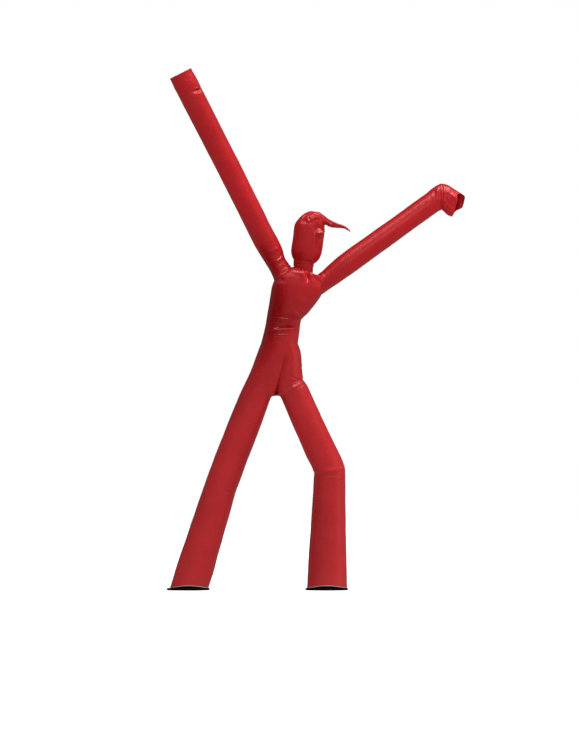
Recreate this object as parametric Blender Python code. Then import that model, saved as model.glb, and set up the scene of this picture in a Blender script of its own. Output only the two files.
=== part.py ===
"""Inflatable two-legged air dancer: sewn tubes of red nylon on two black base rings.

Metres, +Z up. The figure faces -Y, and "left" in the tables is the -X side.
The origin is on the ground, at the middle of the figure's whole width and depth.
"""

import math
from collections import namedtuple

import bmesh
import bpy
from mathutils import Vector

# Driving dimensions
CLOTH = 0.003            # thickness of every cloth wall
SEAM_GAP = 0.0003        # clearance between pieces that are sewn or fitted together
TUBE_SIDES = 24          # facets round a cloth tube

LEG_X = {"left": -1.493, "right": 0.121}    # centres of the two base rings

FLANGE_RADIUS = 0.248
FLANGE_HEIGHT = 0.024
FLANGE_ROUND = 0.007     # bevel on the flange's two outer edges
SPIGOT_RADIUS = 0.192
SPIGOT_TOP = 0.060
SPIGOT_ROUND = 0.004
BORE_RADIUS = 0.176
RING_SIDES = 48

TAPE_HEIGHT = 0.008      # pale tape that binds each hem
HEM_ARCH = 0.026         # how far each hem rises between its two low sides
HEM_HEIGHT = FLANGE_HEIGHT + SEAM_GAP + TAPE_HEIGHT

MOUTH_FOLDS = 5          # lobes round a rippled section

# A section is one ring round a tube: its centre, half width along the section's own slanted
# line, half depth along Y, and that line's tilt in degrees from +X towards +Z. Its front hangs
# "droop" lower than its centre, its front and back rise by "arch", "ripple" is the height of
# its lobes as a share of the radius, and "square" makes a rounded square of the ellipse.
Section = namedtuple("Section", "x z wide deep tilt y droop arch ripple square", defaults=[0.0] * 5)


def table(columns, rows):
    """One Section for each row, with the named columns filled in."""
    names = columns.split()
    return [Section(**dict(zip(names, row))) for row in rows]


# Seams shared by two panels
HEM = {
    "left": Section(x=-1.479, z=HEM_HEIGHT, wide=0.224, deep=0.224, tilt=0, arch=HEM_ARCH),
    "right": Section(x=0.125, z=HEM_HEIGHT, wide=0.233, deep=0.233, tilt=0, arch=HEM_ARCH),
}
KNEE = {
    "left": Section(x=-1.126, z=1.176, wide=0.187, deep=0.190, tilt=-9, droop=0.020),
    "right": Section(x=0.157, z=1.382, wide=0.180, deep=0.185, tilt=6, droop=0.045),
}
CROTCH = (-0.472, 2.268)         # x and z of the point where the four leg and hip panels meet
WAIST = Section(x=-0.431, z=2.878, wide=0.213, deep=0.185, tilt=0)
WAIST_SEAM_X = -0.336            # where the hips' centre seam reaches the waist


def hip(outer_x, outer_z, deep):
    """The ring between a hip lobe and its thigh, from its outer point to the crotch."""
    crotch_x = CROTCH[0] + math.copysign(SEAM_GAP, outer_x - CROTCH[0])
    across, up = crotch_x - outer_x, CROTCH[1] - outer_z
    if across < 0:
        across, up = -across, -up
    return Section(x=(crotch_x + outer_x) / 2, z=(CROTCH[1] + outer_z) / 2, deep=deep,
                   wide=math.hypot(across, up) / 2, tilt=math.degrees(math.atan2(up, across)))


HIP = {
    "left": hip(outer_x=-0.838, outer_z=2.397, deep=0.172),
    "right": hip(outer_x=-0.162, outer_z=2.443, deep=0.165),
}
NECK_SEAM = Section(x=-0.152, z=3.742, wide=0.121, deep=0.121, tilt=-18)
CHIN_SEAM = Section(x=-0.145, z=3.840, wide=0.119, deep=0.119, tilt=-11)
CROWN_MOUTH = Section(x=0.093, z=4.337, wide=0.075, deep=0.070, tilt=-67)
WRIST = {
    "left": Section(x=-1.479, z=5.820, wide=0.141, deep=0.135, tilt=27, y=-0.134, droop=0.015),
    "right": Section(x=1.464, z=4.610, wide=0.155, deep=0.122, tilt=-88),
}

# Legs, from the hem up
SHIN_ROWS = {
    "left": table("x z wide deep tilt", [
        (-1.432, 0.185, 0.221, 0.221, -3),
        (-1.364, 0.408, 0.209, 0.213, -18),
        (-1.237, 0.815, 0.196, 0.200, -19),
    ]),
    "right": table("x z wide deep tilt", [
        (0.131, 0.437, 0.216, 0.216, 0),
        (0.139, 0.786, 0.200, 0.203, 0),
        (0.149, 1.135, 0.186, 0.190, 0),
    ]),
}
THIGH_ROWS = {
    "left": table("x z wide deep tilt", [
        (-1.024, 1.456, 0.185, 0.188, -21),
        (-0.850, 1.906, 0.183, 0.183, -22),
        (-0.699, 2.290, 0.177, 0.175, -14),
    ]),
    "right": table("x z wide deep tilt droop", [
        (0.136, 1.468, 0.189, 0.183, 6, 0.030),
        (0.050, 1.626, 0.178, 0.180, 23, 0),
        (-0.110, 1.976, 0.172, 0.175, 24, 0),
        (-0.264, 2.322, 0.168, 0.168, 23, 0),
    ]),
}

# Hips: two lobes that meet at a centre seam, each from its hip up to the waist
HIP_ROWS = {
    "left": table("x z wide deep tilt", [
        (-0.603, 2.465, 0.190, 0.182, -16),
        (-0.547, 2.600, 0.190, 0.188, -10),
        (-0.496, 2.732, 0.197, 0.190, -5),
    ]),
    "right": table("x z wide deep tilt", [
        (-0.314, 2.465, 0.158, 0.165, 16),
        (-0.332, 2.560, 0.164, 0.176, 8),
        (-0.342, 2.640, 0.170, 0.180, 2),
        (-0.360, 2.735, 0.183, 0.184, 1),
        (-0.388, 2.812, 0.196, 0.185, 0),
    ]),
}
# Half depth of the centre seam at a share of its way from the crotch to the waist
CENTRE_SEAM = [(0.00, 0.000), (0.15, 0.070), (0.30, 0.105), (0.45, 0.132),
               (0.60, 0.148), (0.80, 0.162), (1.00, 0.166)]
SEAM_FADE = math.radians(70)    # how far round a lobe the centre seam's dip reaches

# Chest, neck and head, from the waist up
CHEST_ROWS = table("x z wide deep tilt square", [
    (-0.403, 3.025, 0.204, 0.178, 0, 0.1),
    (-0.390, 3.110, 0.198, 0.172, 0, 0.1),
    (-0.373, 3.165, 0.207, 0.178, 0, 0.1),
    (-0.327, 3.235, 0.239, 0.196, -1, 0.2),
    (-0.284, 3.335, 0.266, 0.208, 0, 0.3),
    (-0.240, 3.440, 0.294, 0.216, -1, 0.5),
    (-0.215, 3.540, 0.302, 0.218, -2, 0.6),
    (-0.194, 3.625, 0.284, 0.206, -4, 0.5),
    (-0.188, 3.692, 0.228, 0.178, -5, 0.3),
    (-0.171, 3.729, 0.167, 0.148, -13, 0.1),
])
NECK_ROWS = table("x z wide deep tilt", [
    (-0.151, 3.789, 0.119, 0.119, -14),
])
HEAD_ROWS = table("x z wide deep tilt", [
    (-0.134, 3.873, 0.148, 0.143, -10),
    (-0.120, 3.925, 0.172, 0.166, -8),
    (-0.109, 3.992, 0.178, 0.172, -1),
    (-0.089, 4.130, 0.179, 0.172, 0),
    (-0.075, 4.243, 0.176, 0.166, -12),
    (-0.056, 4.298, 0.160, 0.155, -15),
    (-0.029, 4.333, 0.145, 0.140, -26),
    (0.003, 4.351, 0.126, 0.120, -39),
    (0.052, 4.352, 0.096, 0.096, -56),
])
HAIR_ROWS = table("x z wide deep tilt", [
    (0.132, 4.309, 0.050, 0.045, -78),
    (0.191, 4.280, 0.034, 0.030, -94),
    (0.260, 4.261, 0.022, 0.022, -95),
    (0.320, 4.249, 0.018, 0.014, -105),
    (0.362, 4.225, 0.010, 0.009, -112),
    (0.388, 4.211, 0.004, 0.004, -120),
])

# Arms, from inside the chest out to the wrist, and hands out to their open mouths
ARM_ROWS = {
    "left": table("x z wide deep tilt y droop", [
        (-0.330, 3.580, 0.105, 0.105, 30, 0.000, 0),
        (-0.389, 3.688, 0.109, 0.110, 30, 0.000, 0),
        (-0.424, 3.757, 0.111, 0.113, 28, -0.004, 0),
        (-0.467, 3.828, 0.113, 0.116, 27, -0.009, 0),
        (-0.517, 3.941, 0.130, 0.126, 27, -0.015, 0),
        (-0.590, 4.073, 0.138, 0.133, 27, -0.024, 0),
        (-0.666, 4.218, 0.135, 0.134, 27, -0.033, 0.006),
        (-0.909, 4.709, 0.137, 0.136, 27, -0.064, 0.008),
        (-1.341, 5.552, 0.139, 0.136, 27, -0.117, 0.010),
    ]),
    "right": table("x z wide deep tilt", [
        (-0.060, 3.490, 0.104, 0.104, -64),
        (0.109, 3.617, 0.107, 0.110, -64),
        (0.202, 3.692, 0.119, 0.118, -60),
        (0.312, 3.780, 0.128, 0.126, -58),
        (0.447, 3.878, 0.129, 0.128, -55),
        (1.058, 4.319, 0.125, 0.125, -54),
        (1.375, 4.548, 0.125, 0.124, -57),
    ]),
}
HAND_ROWS = {
    "left": table("x z wide deep tilt y droop ripple", [
        (-1.528, 5.918, 0.141, 0.133, 27, -0.140, 0.020, 0.00),
        (-1.592, 6.042, 0.136, 0.130, 27, -0.148, 0.023, 0.02),
    ]),
    "right": table("x z wide deep tilt y droop ripple", [
        (1.520, 4.590, 0.162, 0.122, -95, 0.000, 0.000, 0.01),
        (1.583, 4.544, 0.158, 0.118, -103, 0.000, 0.006, 0.03),
        (1.644, 4.506, 0.142, 0.108, -111, -0.004, 0.015, 0.06),
        (1.700, 4.484, 0.100, 0.090, -114, -0.008, 0.030, 0.12),
    ]),
}


def moved(section, distance):
    """The section moved along its own normal."""
    tilt = math.radians(section.tilt)
    return section._replace(x=section.x - distance * math.sin(tilt),
                            z=section.z + distance * math.cos(tilt))


def signed_power(value, exponent):
    return math.copysign(abs(value) ** exponent, value)


def ring_point(section, angle, inset=0.0, dip=0.0):
    """Point of a section at an angle round it, inset into the tube by a cloth thickness."""
    swell = 1 + section.ripple * math.sin(MOUTH_FOLDS * angle)
    power = 2 / (2 + section.square)
    across = signed_power(math.cos(angle), power)
    along = signed_power(math.sin(angle), power)
    u = (section.wide - inset) * swell * across
    v = (section.deep - inset) * swell * along + dip * math.copysign(1, math.sin(angle))
    rise = section.droop * along + section.arch * along ** 2
    tilt = math.radians(section.tilt)
    return Vector((section.x + u * math.cos(tilt) - rise * math.sin(tilt),
                   section.y + v,
                   section.z + u * math.sin(tilt) + rise * math.cos(tilt)))


def ring_points(section, inset=0.0, start=0.0):
    """A full ring of points from a start angle, closed by its first point."""
    points = [ring_point(section, start + math.tau * i / TUBE_SIDES, inset) for i in range(TUBE_SIDES)]
    return points + points[:1]


def seam_reach(section, side):
    """Signed distance along a section's line from its centre to its side of the centre seam."""
    seam_x = CROTCH[0] + (-SEAM_GAP if side == "left" else SEAM_GAP) / 2
    run, climb = WAIST_SEAM_X - CROTCH[0], WAIST.z - CROTCH[1]
    tilt = math.radians(section.tilt)
    across = (seam_x - section.x) * climb - (CROTCH[1] - section.z) * run
    return across / (math.cos(tilt) * climb - math.sin(tilt) * run)


def seam_depth(z):
    """Half depth of the centre seam at a height."""
    share = min(max((z - CROTCH[1]) / (WAIST.z - CROTCH[1]), 0.0), 1.0)
    for (low, low_deep), (high, high_deep) in zip(CENTRE_SEAM, CENTRE_SEAM[1:]):
        if share <= high:
            break
    return low_deep + (high_deep - low_deep) * (share - low) / (high - low)


def lobe_points(section, side, inset=0.0):
    """The part of a ring on one side of the centre seam, from its back end to its front end."""
    reach = seam_reach(section, side)
    half_turn = 0.0 if side == "left" else math.pi
    start = math.acos(abs(reach) / (section.wide - inset))
    if (reach < 0) == (side == "left"):
        start = math.pi - start
    edge_z = section.z + reach * math.sin(math.radians(section.tilt))
    dip = max(seam_depth(edge_z) - inset, 0.0) - (section.deep - inset) * math.sin(start)
    points = []
    for i in range(TUBE_SIDES + 1):
        turn = start + (math.tau - 2 * start) * i / TUBE_SIDES
        near = min(turn - start, math.tau - start - turn)
        fade = max(0.0, 1 - near / SEAM_FADE) ** 2
        points.append(ring_point(section, turn - half_turn, inset, dip * fade))
    return points


def named_material(name, colour, roughness, metallic=0.0):
    material = bpy.data.materials.new(name)
    material.use_nodes = True
    shader = material.node_tree.nodes["Principled BSDF"]
    shader.inputs["Base Color"].default_value = (*colour, 1.0)
    shader.inputs["Roughness"].default_value = roughness
    shader.inputs["Metallic"].default_value = metallic
    return material


def add_object(name, bm, material):
    """New object of a bmesh, with round parts shaded smooth."""
    mesh = bpy.data.meshes.new(name)
    bm.to_mesh(mesh)
    bm.free()
    mesh.shade_smooth()
    mesh.set_sharp_from_angle(angle=math.radians(40))
    mesh.materials.append(material)
    thing = bpy.data.objects.new(name, mesh)
    bpy.context.scene.collection.objects.link(thing)
    return thing


def shell(name, levels, material):
    """Closed cloth wall between outer and inner rings, one (outer, inner) pair a level."""
    bm = bmesh.new()
    outer, inner, closed = [], [], []
    for outer_points, inner_points in levels:
        is_closed = (outer_points[0] - outer_points[-1]).length < SEAM_GAP / 2
        closed.append(is_closed)
        for rings, points in ((outer, outer_points), (inner, inner_points)):
            ring = [bm.verts.new(p) for p in (points[:-1] if is_closed else points)]
            rings.append(ring + ring[:1] if is_closed else ring)
    columns = range(len(outer[0]) - 1)
    for k in range(len(levels) - 1):
        o, p, m, n = outer[k], outer[k + 1], inner[k], inner[k + 1]
        for i in columns:
            bm.faces.new((o[i], o[i + 1], p[i + 1], p[i]))
            bm.faces.new((m[i], n[i], n[i + 1], m[i + 1]))
        if not (closed[k] and closed[k + 1]):
            bm.faces.new((o[0], p[0], n[0], m[0]))
            bm.faces.new((o[-1], m[-1], n[-1], p[-1]))
    for i in columns:
        bm.faces.new((outer[0][i], inner[0][i], inner[0][i + 1], outer[0][i + 1]))
        bm.faces.new((outer[-1][i], outer[-1][i + 1], inner[-1][i + 1], inner[-1][i]))
    return add_object(name, bm, material)


def seated(rows):
    """Rows with half a seam gap taken off each end."""
    return [moved(rows[0], SEAM_GAP / 2)] + rows[1:-1] + [moved(rows[-1], -SEAM_GAP / 2)]


def tube(name, rows, material):
    """Open tube of cloth through the rows."""
    levels = [(ring_points(s), ring_points(s, CLOTH)) for s in seated(rows)]
    return shell(name, levels, material)


def lobe(name, rows, side, material):
    """One hip lobe: a full ring at the hip, open along the centre seam above it."""
    hip_ring, *others = seated(rows)
    start = 0.0 if side == "left" else -math.pi
    levels = [(ring_points(hip_ring, 0.0, start), ring_points(hip_ring, CLOTH, start))]
    levels += [(lobe_points(s, side), lobe_points(s, side, CLOTH)) for s in others]
    return shell(name, levels, material)


def solid(name, rows, material, inset=0.0):
    """Closed solid through the rows, with flat ends."""
    bm = bmesh.new()
    rings = [[bm.verts.new(p) for p in ring_points(s, inset)[:-1]] for s in rows]
    for low, high in zip(rings, rings[1:]):
        for i in range(TUBE_SIDES):
            j = (i + 1) % TUBE_SIDES
            bm.faces.new((low[i], low[j], high[j], high[i]))
    bm.faces.new(rings[0][::-1])
    bm.faces.new(rings[-1])
    return add_object(name, bm, material)


def cutter(thing):
    thing.hide_render = True
    thing.display_type = "WIRE"
    return thing


def cut(thing, tool):
    modifier = thing.modifiers.new("Cut by " + tool.name, "BOOLEAN")
    modifier.operation = "DIFFERENCE"
    modifier.solver = "EXACT"
    modifier.object = tool


def base_ring(side, material):
    """Black ring under a leg: a flat flange and a low spigot round one bore."""
    bm = bmesh.new()
    profile = [(BORE_RADIUS, 0.0), (FLANGE_RADIUS, 0.0), (FLANGE_RADIUS, FLANGE_HEIGHT),
               (SPIGOT_RADIUS, FLANGE_HEIGHT), (SPIGOT_RADIUS, SPIGOT_TOP), (BORE_RADIUS, SPIGOT_TOP)]
    rings = []
    for radius, z in profile:
        turns = [math.tau * i / RING_SIDES for i in range(RING_SIDES)]
        rings.append([bm.verts.new((radius * math.cos(a), radius * math.sin(a), z)) for a in turns])
    for low, high in zip(rings, rings[1:] + rings[:1]):
        for i in range(RING_SIDES):
            j = (i + 1) % RING_SIDES
            bm.faces.new((low[i], low[j], high[j], high[i]))
    bevel_circle(bm, FLANGE_RADIUS, FLANGE_ROUND)
    bevel_circle(bm, SPIGOT_RADIUS, SPIGOT_ROUND, above=SPIGOT_TOP)
    thing = add_object("base_ring_" + side, bm, material)
    thing.location.x = LEG_X[side]
    return thing


def bevel_circle(bm, radius, width, above=-1.0):
    """Round the edges that lie on a circle of this radius, at or above a height."""
    def on_circle(vert):
        near = abs(math.hypot(vert.co.x, vert.co.y) - radius) < SEAM_GAP
        return near and vert.co.z > above - SEAM_GAP
    edges = [e for e in bm.edges
             if all(on_circle(v) for v in e.verts) and abs(e.verts[0].co.z - e.verts[1].co.z) < SEAM_GAP]
    bmesh.ops.bevel(bm, geom=edges, offset=width, segments=2, profile=0.5, affect="EDGES")


def leg(side, red, pale, black):
    """Base ring, hem tape, shin and thigh of one leg."""
    base_ring(side, black)
    hem = HEM[side]
    tube("hem_tape_" + side, [moved(hem, -TAPE_HEIGHT), hem], pale)
    tube("shin_" + side, [hem] + SHIN_ROWS[side] + [KNEE[side]], red)
    tube("thigh_" + side, [KNEE[side]] + THIGH_ROWS[side] + [HIP[side]], red)


def arm(side, chest, chest_form, red):
    """Arm sewn to the chest's surface, with its hand, and the hole it needs in the chest."""
    rows = ARM_ROWS[side] + [WRIST[side]]
    sleeve = tube("arm_" + side, rows, red)
    cut(sleeve, chest_form)
    cut(chest, cutter(solid("arm_hole_" + side, rows[:4], red, inset=CLOTH)))
    tube("hand_" + side, [WRIST[side]] + HAND_ROWS[side], red)


def build():
    for thing in list(bpy.data.objects):
        bpy.data.objects.remove(thing)
    red = named_material("red_nylon", (0.42, 0.012, 0.018), 0.42)
    black = named_material("black_plastic", (0.012, 0.012, 0.013), 0.5)
    pale = named_material("pale_tape", (0.55, 0.50, 0.48), 0.7)

    for side in ("left", "right"):
        leg(side, red, pale, black)
        lobe("pelvis_" + side, [HIP[side]] + HIP_ROWS[side] + [WAIST], side, red)

    chest_rows = [WAIST] + CHEST_ROWS + [NECK_SEAM]
    chest = tube("chest", chest_rows, red)
    chest_form = cutter(solid("chest_form", chest_rows, red, inset=-SEAM_GAP))
    for side in ("left", "right"):
        arm(side, chest, chest_form, red)

    tube("neck", [NECK_SEAM] + NECK_ROWS + [CHIN_SEAM], red)
    tube("head", [CHIN_SEAM] + HEAD_ROWS + [CROWN_MOUTH], red)
    solid("hair", [moved(CROWN_MOUTH, SEAM_GAP / 2)] + HAIR_ROWS, red)


build()
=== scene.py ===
"""Looks of the inflatable air dancer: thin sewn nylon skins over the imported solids.

Metres, +Z up, the same frame as the CAD. The figure faces -Y, "left" is the -X side.
Angles round a tube start at its +X side: -90 is its front, 90 its back, 180 its left.
"""

import math
from collections import namedtuple

import bpy
import numpy as np
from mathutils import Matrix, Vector, noise
from mathutils.bvhtree import BVHTree


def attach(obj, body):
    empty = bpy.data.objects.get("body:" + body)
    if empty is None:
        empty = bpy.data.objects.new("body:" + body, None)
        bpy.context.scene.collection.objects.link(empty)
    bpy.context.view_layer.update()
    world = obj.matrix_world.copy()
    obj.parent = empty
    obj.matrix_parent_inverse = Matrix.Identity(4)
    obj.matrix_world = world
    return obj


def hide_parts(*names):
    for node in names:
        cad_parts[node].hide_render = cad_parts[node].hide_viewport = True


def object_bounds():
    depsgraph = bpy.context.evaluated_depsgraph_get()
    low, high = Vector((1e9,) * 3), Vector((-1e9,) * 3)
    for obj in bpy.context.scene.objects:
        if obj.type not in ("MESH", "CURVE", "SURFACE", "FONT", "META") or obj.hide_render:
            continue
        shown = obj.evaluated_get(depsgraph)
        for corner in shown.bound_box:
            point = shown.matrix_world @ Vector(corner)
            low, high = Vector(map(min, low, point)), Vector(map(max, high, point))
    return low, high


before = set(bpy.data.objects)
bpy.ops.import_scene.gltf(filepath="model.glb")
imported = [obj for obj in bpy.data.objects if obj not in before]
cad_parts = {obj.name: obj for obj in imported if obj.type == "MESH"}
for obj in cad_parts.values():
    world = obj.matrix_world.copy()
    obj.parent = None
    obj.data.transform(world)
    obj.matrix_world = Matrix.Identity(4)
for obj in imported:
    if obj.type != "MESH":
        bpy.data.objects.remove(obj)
CAD_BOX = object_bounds()

MM = 1000.0              # millimetres in a metre
SIDES = ("left", "right")
SEAM_GAP = 0.0003        # clearance between pieces that are sewn together
SKIN = 0.0012            # thickness of the nylon
FULL = 0.003             # how far the blown-up cloth stands out between its seams
MOUTH_FOLDS = 5          # lobes round a rippled section
BACK = 90.0              # the angle round a tube at which its own lengthwise seam runs

# A section of the figure: the middle, half width and half depth of its ring, its tilt in degrees,
# how square it is, its middle from front to back, how far its front hangs below its middle, how
# strongly it is rippled, and how far its front and back are arched up.
Section = namedtuple("Section", "x z wide deep tilt square y droop ripple arch",
                     defaults=[0.0] * 5)
SECTION_UNITS = (MM, MM, MM, MM, 1, 1, MM, MM, 1, MM)


def in_metres(kind, units, rows):
    """Sections, folds or crumples from rows whose lengths are in millimetres."""
    return [kind(*(value / unit for value, unit in zip(row, units))) for row in rows]


# ---- the figure's sections, as in the CAD source ----
TAPE_HEIGHT = 0.008
HEM_ARCH = 0.026
FLANGE_HEIGHT = 0.024
HEM_HEIGHT = FLANGE_HEIGHT + SEAM_GAP + TAPE_HEIGHT

HEM = {
    "left": Section(-1.479, HEM_HEIGHT, 0.224, 0.224, 0, arch=HEM_ARCH),
    "right": Section(0.125, HEM_HEIGHT, 0.233, 0.233, 0, arch=HEM_ARCH),
}
KNEE = {
    "left": Section(-1.126, 1.176, 0.187, 0.190, -9, droop=0.020),
    "right": Section(0.157, 1.382, 0.180, 0.185, 6, droop=0.045),
}
CROTCH = (-0.472, 2.268)
HIP_SQUARE = 1.5         # how square a hip ring is beside the crotch
WAIST = Section(-0.431, 2.878, 0.213, 0.185, 0)
WAIST_SEAM_X = -0.336


def hip(outer_x, outer_z, deep):
    """The ring between a hip lobe and its thigh, from its outer point to the crotch."""
    crotch_x = CROTCH[0] + math.copysign(SEAM_GAP, outer_x - CROTCH[0])
    across, up = crotch_x - outer_x, CROTCH[1] - outer_z
    if across < 0:
        across, up = -across, -up
    return Section(x=(crotch_x + outer_x) / 2, z=(CROTCH[1] + outer_z) / 2, deep=deep,
                   wide=math.hypot(across, up) / 2, tilt=math.degrees(math.atan2(up, across)),
                   square=HIP_SQUARE)


HIP = {
    "left": hip(outer_x=-0.838, outer_z=2.397, deep=0.172),
    "right": hip(outer_x=-0.158, outer_z=2.456, deep=0.165),
}
NECK_SEAM = Section(-0.152, 3.742, 0.121, 0.100, -18)
CHIN_SEAM = Section(-0.145, 3.840, 0.119, 0.119, -11)
CROWN_MOUTH = Section(0.093, 4.337, 0.075, 0.070, -67)
WRIST = {
    "left": Section(-1.479, 5.820, 0.141, 0.135, 27, y=-0.134, droop=0.015),
    "right": Section(1.464, 4.610, 0.155, 0.122, -88),
}
# Depth of the seam between the hips' two halves: its height as a share of the way from the crotch
# to the waist, and how far it lies from the middle plane
CENTRE_SEAM = np.array([(0.00, 0.000), (0.06, 0.080), (0.15, 0.118), (0.30, 0.141), (0.45, 0.153),
                        (0.60, 0.161), (0.80, 0.169), (1.00, 0.172)])
SEAM_FADE = math.radians(70)
# Each piece's own sections, lengths in millimetres
ROWS = {name: in_metres(Section, SECTION_UNITS, rows) for name, rows in {
    "shin_left": [
        (-1432, 185, 221, 221, -3), (-1364, 408, 209, 213, -18), (-1237, 815, 196, 200, -19),
    ],
    "shin_right": [(131, 437, 216, 216, 0), (139, 786, 200, 203, 0), (149, 1135, 186, 190, 0)],
    "thigh_left": [
        (-1024, 1456, 185, 188, -21), (-850, 1906, 183, 183, -22), (-698, 2302, 175, 175, -11, 1.2),
    ],
    "thigh_right": [
        (130, 1468, 186, 183, 6, 0, 0, 30), (49, 1626, 177, 180, 23), (-110, 1976, 172, 175, 24),
        (-264, 2329, 166, 168, 21, 1.2),
    ],
    "pelvis_left": [
        (-600, 2465, 187, 182, -16, 0.9), (-547, 2600, 190, 188, -10, 0.4),
        (-496, 2732, 197, 190, -5),
    ],
    "pelvis_right": [
        (-314, 2465, 158, 165, 16, 0.9), (-332, 2560, 164, 176, 8, 0.5),
        (-342, 2640, 170, 180, 2, 0.2), (-360, 2735, 183, 184, 1), (-388, 2812, 196, 185, 0),
    ],
    "chest": [
        (-403, 3025, 204, 178, 0, 0.1), (-390, 3110, 198, 172, 0, 0.1),
        (-380, 3165, 199, 176, 0, 0.1), (-335, 3235, 231, 194, -1, 0.2),
        (-284, 3335, 266, 208, 0, 0.3), (-240, 3440, 294, 216, -1, 0.5),
        (-215, 3540, 302, 218, -2, 0.6), (-194, 3625, 284, 206, -4, 0.5),
        (-188, 3692, 228, 194, -5, 0.3), (-171, 3729, 167, 166, -13, 0.1),
    ],
    "arm_left": [
        (-330, 3580, 105, 105, 30), (-389, 3688, 109, 110, 30), (-424, 3757, 111, 113, 28, 0, -4),
        (-469, 3828, 110, 116, 27, 0, -9), (-517, 3941, 130, 126, 27, 0, -15),
        (-590, 4073, 138, 133, 27, 0, -24), (-666, 4218, 135, 134, 27, 0, -33, 6),
        (-909, 4709, 137, 136, 27, 0, -64, 8), (-1341, 5552, 139, 136, 27, 0, -117, 10),
    ],
    "arm_right": [
        (-60, 3490, 104, 104, -64), (109, 3617, 107, 110, -64), (202, 3692, 119, 118, -60),
        (312, 3780, 128, 126, -58), (447, 3878, 129, 128, -55), (1058, 4319, 125, 125, -54),
        (1375, 4548, 125, 124, -57),
    ],
    "hand_left": [
        (-1528, 5918, 141, 133, 27, 0, -140, 20), (-1592, 6042, 136, 130, 27, 0, -148, 23, 0.02),
    ],
    "hand_right": [
        (1520, 4590, 162, 122, -95, 0, 0, 0, 0.01), (1583, 4544, 158, 118, -103, 0, 0, 6, 0.03),
        (1644, 4510, 147, 94, -110, 0, -4, 4, 0.04), (1700, 4488, 134, 70, -112, 0, -6, 0, 0.06),
        (1770, 4464, 115, 50, -112, 0, -8, 0, 0.08),
    ],
    "neck": [(-154, 3785, 115, 100, -14)],
    "head": [
        (-134, 3873, 151, 143, -10), (-119, 3925, 175, 166, -8), (-110, 3992, 179, 172, -1),
        (-89, 4130, 179, 172, 0), (-78, 4246, 180, 166, -12), (-56, 4300, 158, 155, -17),
        (-25, 4332, 140, 140, -28), (3, 4351, 126, 120, -39), (52, 4352, 96, 96, -56),
    ],
    "hair": [
        (132, 4309, 50, 45, -78), (191, 4280, 34, 30, -94), (260, 4263, 20, 22, -95),
        (320, 4253, 15, 12, -106), (364, 4228, 9, 8, -120), (400, 4196, 3, 3, -132),
    ],
}.items()}


# ---- smooth surfaces through the sections ----
def moved(section, distance):
    """The section moved along its own normal."""
    tilt = math.radians(section.tilt)
    return section._replace(x=section.x - distance * math.sin(tilt),
                            z=section.z + distance * math.cos(tilt))


def seated(rows):
    """Rows with half a seam gap taken off each end."""
    return [moved(rows[0], SEAM_GAP / 2)] + rows[1:-1] + [moved(rows[-1], -SEAM_GAP / 2)]


def run_of(points):
    """Distance of each point along the line through them."""
    steps = np.linalg.norm(np.diff(points, axis=0), axis=1)
    return np.concatenate([[0.0], np.cumsum(steps)])


def knots_of(rows):
    """Distance of each section along the line through their centres."""
    return run_of(np.array([(s.x, s.y, s.z) for s in rows]))


def sampled(at, run, values):
    """Values along a line, read off at these distances."""
    return np.stack([np.interp(at, run, column) for column in values.T], axis=-1)


CORNER = 0.022           # how far a bend between two straight runs is softened along a tube
FINE = 0.004             # how far apart the sections are that get softened


def between(rows, at):
    """Sections at these distances: straight between the rows, with softened corners."""
    values, knots = np.array(rows, float), knots_of(rows)
    count = max(int(round(knots[-1] / FINE)), 8)
    fine = np.linspace(0, knots[-1], count + 1)
    straight = sampled(fine, knots, values)
    spread = CORNER / (knots[-1] / count)
    reach = min(int(math.ceil(3 * spread)), count)
    before = 2 * straight[0] - straight[reach:0:-1]
    after = 2 * straight[-1] - straight[-2:-2 - reach:-1]
    padded = np.concatenate([before, straight, after])
    weight = np.exp(-0.5 * (np.arange(-reach, reach + 1) / spread) ** 2)
    weight /= weight.sum()
    soft = np.stack([np.convolve(column, weight, mode="valid") for column in padded.T], axis=1)
    return sampled(at, fine, soft)


def signed_power(value, exponent):
    return np.copysign(np.abs(value) ** exponent, value)


def off(turns, degrees):
    """Signed angles from this direction, at most half a turn."""
    return (turns - np.radians(degrees) + math.pi) % math.tau - math.pi


def unit(vectors):
    return vectors / np.maximum(np.linalg.norm(vectors, axis=-1, keepdims=True), 1e-12)


def radius_of(sections):
    return (sections[..., 2] + sections[..., 3]) / 2


# The side on which a piece's sections are squared, in degrees; other pieces are squared all round
SQUARED_SIDE = {"thigh_left": 0, "pelvis_left": 0, "thigh_right": 180, "pelvis_right": 180}


def squared_share(name, turns):
    """How much of its sections' squareness a piece has at these angles, from 0 to 1."""
    if name not in SQUARED_SIDE:
        return 1.0
    gap = np.degrees(np.abs(off(turns, SQUARED_SIDE[name])))
    share = np.clip((120 - gap) / 60, 0, 1)
    return share * share * (3 - 2 * share)


def ring_points(sections, turns, dip=0.0, name=""):
    """Points at angles round sections, each with a section's numbers or a point's along its last
    axis."""
    x, z, wide, deep, tilt, square, y, droop, ripple, arch = np.moveaxis(sections, -1, 0)
    swell = 1 + ripple * np.sin(MOUTH_FOLDS * turns)
    power = 2 / (2 + square * squared_share(name, turns))
    across = signed_power(np.cos(turns), power)
    along = signed_power(np.sin(turns), power)
    u = wide * swell * across
    v = deep * swell * along + dip * np.sign(np.sin(turns))
    rise = droop * along + arch * np.abs(along) ** 3
    tilt = np.radians(tilt)
    return np.stack([x + u * np.cos(tilt) - rise * np.sin(tilt),
                     y + v,
                     z + u * np.sin(tilt) + rise * np.cos(tilt)], axis=-1)


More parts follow.
